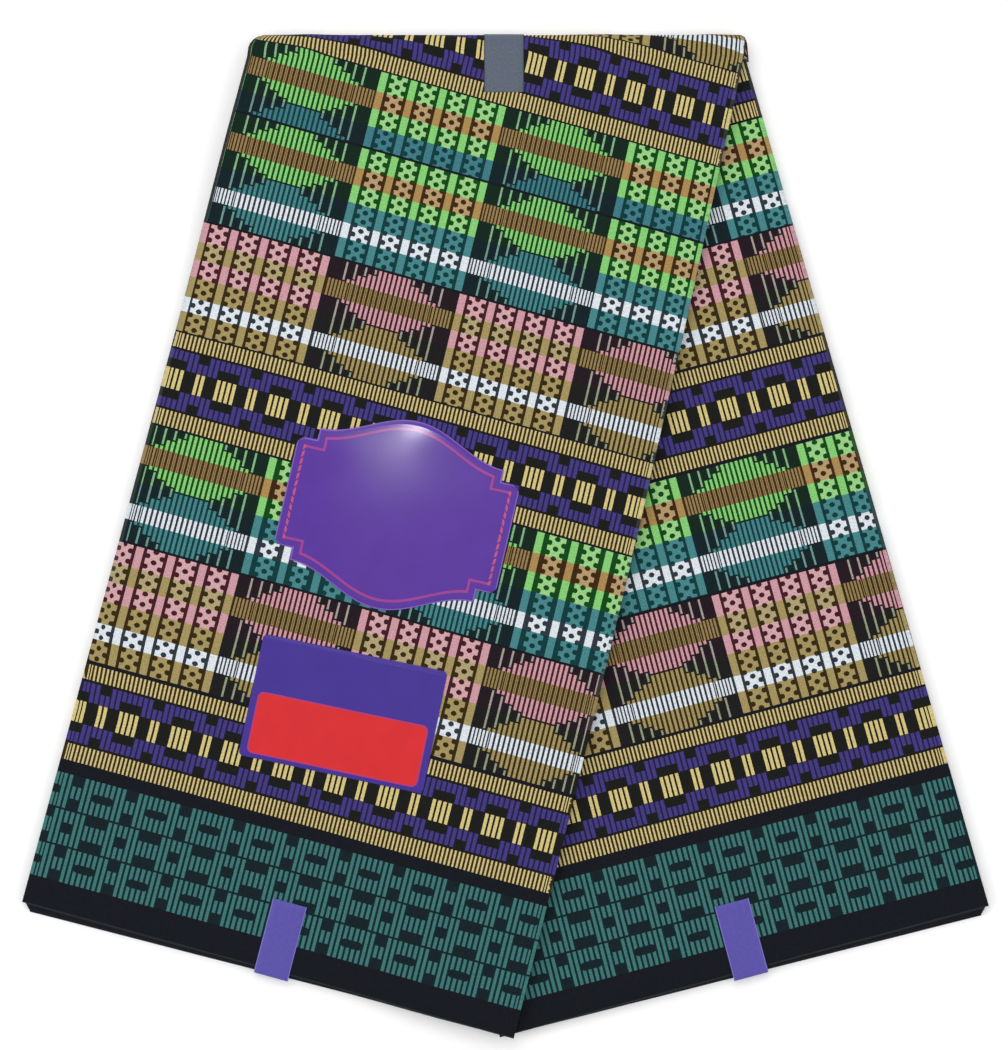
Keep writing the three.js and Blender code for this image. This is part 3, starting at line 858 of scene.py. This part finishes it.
frontCloth = finishPiece("front_cloth", clothSlab("front", rimLevels(), frontPoint), frontPrint,
                         "front_panel")
frontLayers = finishPiece("front_folds", clothSlab("front", foldLevels(), frontPoint), frontPrint,
                          "front_layers")
backCloth = finishPiece("back_cloth", clothSlab("back", rimLevels(), backPoint), backPrint,
                        "back_panel")
backLayers = finishPiece("back_folds", clothSlab("back", foldLevels(), backPoint), backPrint,
                         "back_layers")
print("cloth laid")


# Paper labels, glued on the front leg
labelWalls = {"lift": 0.12, "wall": 0.34, "rim": 0.08, "sharpAngle": 50}
labelSearch = {"across": 0.5, "up": 300.0, "steps": 6}           # starts at the middle of the leg
plaque = {
    "middle": (-64.9, -292.7), "angle": -13.0, "halfWidth": 69, "crest": 58.2, "shoulder": (57, 41),
    "tab": 33.5, "corner": 5, "grid": (64, 40),
    "crestStops": (0, 6, 12, 18, 24, 30, 36, 42, 48, 53), "step": 0.8, "tabStops": (3, 1.4, 0.5, 0),
}
careLabel = {"middle": (-97.3, -412.6), "angle": -11.7, "width": 114, "height": 74.7, "corner": 3, "grid": (36, 24)}


def labelLevels():
    lift, wall, rim = labelWalls["lift"], labelWalls["wall"], labelWalls["rim"]
    return [(lift + wall, rim), (lift + wall - rim, 0.0), (lift + rim, 0.0), (lift, rim)]


def frontShareAt(x, y):
    # where a point of the plan lies on the front leg, by walking towards it
    leg = legs["front"]
    across, up = labelSearch["across"], labelSearch["up"]
    for _ in range(labelSearch["steps"]):
        planX, planY = legPlan(leg, across, up)
        angle, lean = math.radians(leg["hemAngle"]), threadLine(leg, across)[2]
        dx, dy = x - planX, y - planY
        across += (dx * math.cos(lean) - dy * math.sin(lean)) / (leg["hemWidth"] * math.cos(angle + lean))
        up += (dy * math.cos(angle) - dx * math.sin(angle)) / math.cos(angle + lean)
    return across, up


def flatLabel(label, outline):
    columns, rows = label["grid"]
    angle = math.radians(label["angle"])
    levels = labelLevels()

    def labelPoint(i, j, levelIndex):
        lift, back = levels[levelIndex]
        s, t = 2 * i / columns - 1, 2 * j / rows - 1
        localX, localY = outline(s, t)
        if i in (0, columns):
            localX -= math.copysign(back, s)
        if j in (0, rows):
            localY -= math.copysign(back, t)
        x = label["middle"][0] + localX * math.cos(angle) - localY * math.sin(angle)
        y = label["middle"][1] + localX * math.sin(angle) + localY * math.cos(angle)
        across, up = frontShareAt(x, y)
        z = frontUnderside(x, y) + legHeight + creaseLift("front", across, up) + lift
        return (x, y, z), (localX, localY)

    return slabForm(columns, rows, len(levels), labelPoint)


def plaqueOutline(s, t):
    # crest above and below, shoulders, and a short tab at each side with rounded corners
    width, corner = plaque["halfWidth"], plaque["corner"]
    shoulderX, shoulderY = plaque["shoulder"]
    stops = [*plaque["crestStops"], shoulderX, shoulderX + plaque["step"], width - corner,
             *(width - inset for inset in plaque["tabStops"])]
    x = along(stops, abs(s))
    if x <= shoulderX:
        halfHeight = lerp(shoulderY, plaque["crest"], (1 + math.cos(math.pi * x / shoulderX)) / 2)
    else:
        past = max(0, x - (width - corner))
        halfHeight = plaque["tab"] - corner + math.sqrt(max(0, corner ** 2 - past ** 2))
    return math.copysign(x, s), t * halfHeight


def careOutline(s, t):
    width, height, corner = careLabel["width"] / 2, careLabel["height"] / 2, careLabel["corner"]
    stops = [0, width / 3, width * 2 / 3, width - corner, width - corner * 0.5, width - corner * 0.15, width]
    x = along(stops, abs(s))
    past = max(0, x - (width - corner))
    return math.copysign(x, s), t * (height - corner + math.sqrt(max(0, corner ** 2 - past ** 2)))


plaqueLabel = finishPiece("plaque", flatLabel(plaque, plaqueOutline), plaquePaper(),
                          "plaque_label", labelWalls["sharpAngle"])
carePiece = finishPiece("care_card", flatLabel(careLabel, careOutline), carePaper(),
                        "care_label", labelWalls["sharpAngle"])

# Foil seals: one over the turn at the top, one over each hem
crownSeal = {"x": 0.0, "width": 24.4, "below": 33.5, "past": 15, "grid": (6, 30)}
hemSeal = {"across": 0.51, "width": 21.2, "length": 42, "over": 4.5, "clear": 0.5, "bend": 1.2, "grid": (6, 16, 5)}


def crownSealForm():
    columns, rows = crownSeal["grid"]
    levels = labelLevels()
    length = crownSeal["below"] + crownSeal["past"]

    def sealPoint(i, j, levelIndex):
        lift, back = levels[levelIndex]
        localX = (i / columns - 0.5) * crownSeal["width"]
        travelled = j / rows * length - crownSeal["below"]
        if i in (0, columns):
            localX -= math.copysign(back, localX)
        if j in (0, rows):
            travelled += back if j == 0 else -back
        x = crownSeal["x"] + localX
        start = turnForm["start"]
        across, up = frontShareAt(x, min(travelled, start))
        pucker = creaseLift("front", across, up)
        if travelled <= start:
            return (x, travelled, raised + legHeight + pucker + lift), (localX, travelled)
        turn = (travelled - start) / (crownRadius * turnRate)
        radius = crownRadius + pucker * (1 - turn / math.pi) ** 2
        foldY = start + (turnForm["stretch"] * radius + lift) * math.sin(turn)
        return (x, foldY, crownRadius + (radius + lift) * math.cos(turn)), (localX, travelled)

    return slabForm(columns, rows, len(levels), sealPoint)


def hemSealForm(legName, point):
    leg = legs[legName]
    columns, flatRows, bendRows = hemSeal["grid"]
    levels = labelLevels()
    share = 1 - hemSeal["across"] if leg["outer"] == "left" else hemSeal["across"]
    reach = lerp(*clothForm["hemPeep"], share) + hemSeal["clear"]

    def sealPoint(i, j, levelIndex):
        lift, back = levels[levelIndex]
        localX = (i / columns - 0.5) * hemSeal["width"]
        if i in (0, columns):
            localX -= math.copysign(back, localX)
        across = hemSeal["across"] + localX / leg["hemWidth"]
        bend = hemSeal["bend"]
        if j == 0:
            drop = hemSeal["over"] - (back if levelIndex else 0)
            return point(across, -reach - lift, 0, legHeight - drop), (localX, -reach - drop)
        if j <= bendRows:
            turn = (j - 1) / (bendRows - 1) * math.pi / 2
            radius = bend + lift
            up = -reach + bend - radius * math.cos(turn)
            height = legHeight - bend + radius * math.sin(turn)
            return point(across, up, 0, height), (localX, up)
        up = lerp(-reach + bend, hemSeal["length"], (j - bendRows) / flatRows)
        if j == flatRows + bendRows:
            up -= back
        return point(across, up, 0, legHeight + lift), (localX, up)

    return slabForm(columns, flatRows + bendRows, len(levels), sealPoint)


crownFoil, hemFoil = sealFoil(foilLooks["crown"]), sealFoil(foilLooks["hem"])
crownPiece = finishPiece("crown_foil", crownSealForm(), crownFoil,
                         "crown_seal", labelWalls["sharpAngle"])
frontHemPiece = finishPiece("front_hem_foil", hemSealForm("front", frontPoint), hemFoil,
                            "front_hem_seal", labelWalls["sharpAngle"])
backHemPiece = finishPiece("back_hem_foil", hemSealForm("back", backPoint), hemFoil,
                           "back_hem_seal", labelWalls["sharpAngle"])
print("labels glued")

# Floor and lights
studio = {
    "floor": 3.0, "floorTone": 0.96, "floorRoughness": 0.9, "floorSpecular": 0.1, "sky": 0.84,
    "lamps": [
        {"name": "topLamp", "spot": (-0.45, 1.05, 1.75), "aim": (0, 0.05, 0), "size": (1.5, 0.9), "power": 8.5},
        {"name": "leftLamp", "spot": (-1.9, -0.4, 1.7), "aim": (0, 0, 0), "size": (1.2, 1.2), "power": 8.5},
        {"name": "rightLamp", "spot": (1.8, -0.5, 1.9), "aim": (0, 0, 0), "size": (1.4, 1.4), "power": 8.0},
        {"name": "glareLamp", "spot": (-0.12, 0.227, 1.75), "aim": (-0.056, 0.056, 0), "size": (0.1, 0.05),
         "power": 1.3},
    ],
}


def setStudio():
    form = bmesh.new()
    bmesh.ops.create_grid(form, x_segments=2, y_segments=2, size=studio["floor"])
    mesh = bpy.data.meshes.new("floor")
    form.to_mesh(mesh)
    form.free()
    floor = bpy.data.objects.new("floor", mesh)
    bpy.context.scene.collection.objects.link(floor)
    material, _, shader = newMaterial("paleFloor")
    shader.inputs["Base Color"].default_value = (studio["floorTone"],) * 3 + (1,)
    shader.inputs["Roughness"].default_value = studio["floorRoughness"]
    shader.inputs["Specular IOR Level"].default_value = studio["floorSpecular"]
    mesh.materials.append(material)

    world = bpy.data.worlds.new("softSky")
    world.use_nodes = True
    world.node_tree.nodes["Background"].inputs[0].default_value = (1, 1, 1, 1)
    world.node_tree.nodes["Background"].inputs[1].default_value = studio["sky"]
    bpy.context.scene.world = world
    for lamp in studio["lamps"]:
        data = bpy.data.lights.new(lamp["name"], "AREA")
        data.shape = "RECTANGLE"
        data.size, data.size_y = lamp["size"]
        data.energy = lamp["power"]
        light = bpy.data.objects.new(lamp["name"], data)
        bpy.context.scene.collection.objects.link(light)
        light.location = lamp["spot"]
        light.rotation_euler = (Vector(lamp["aim"]) - light.location).to_track_quat("-Z", "Y").to_euler()


setStudio()
bpy.context.scene.view_settings.view_transform = "Standard"
print("studio lit")
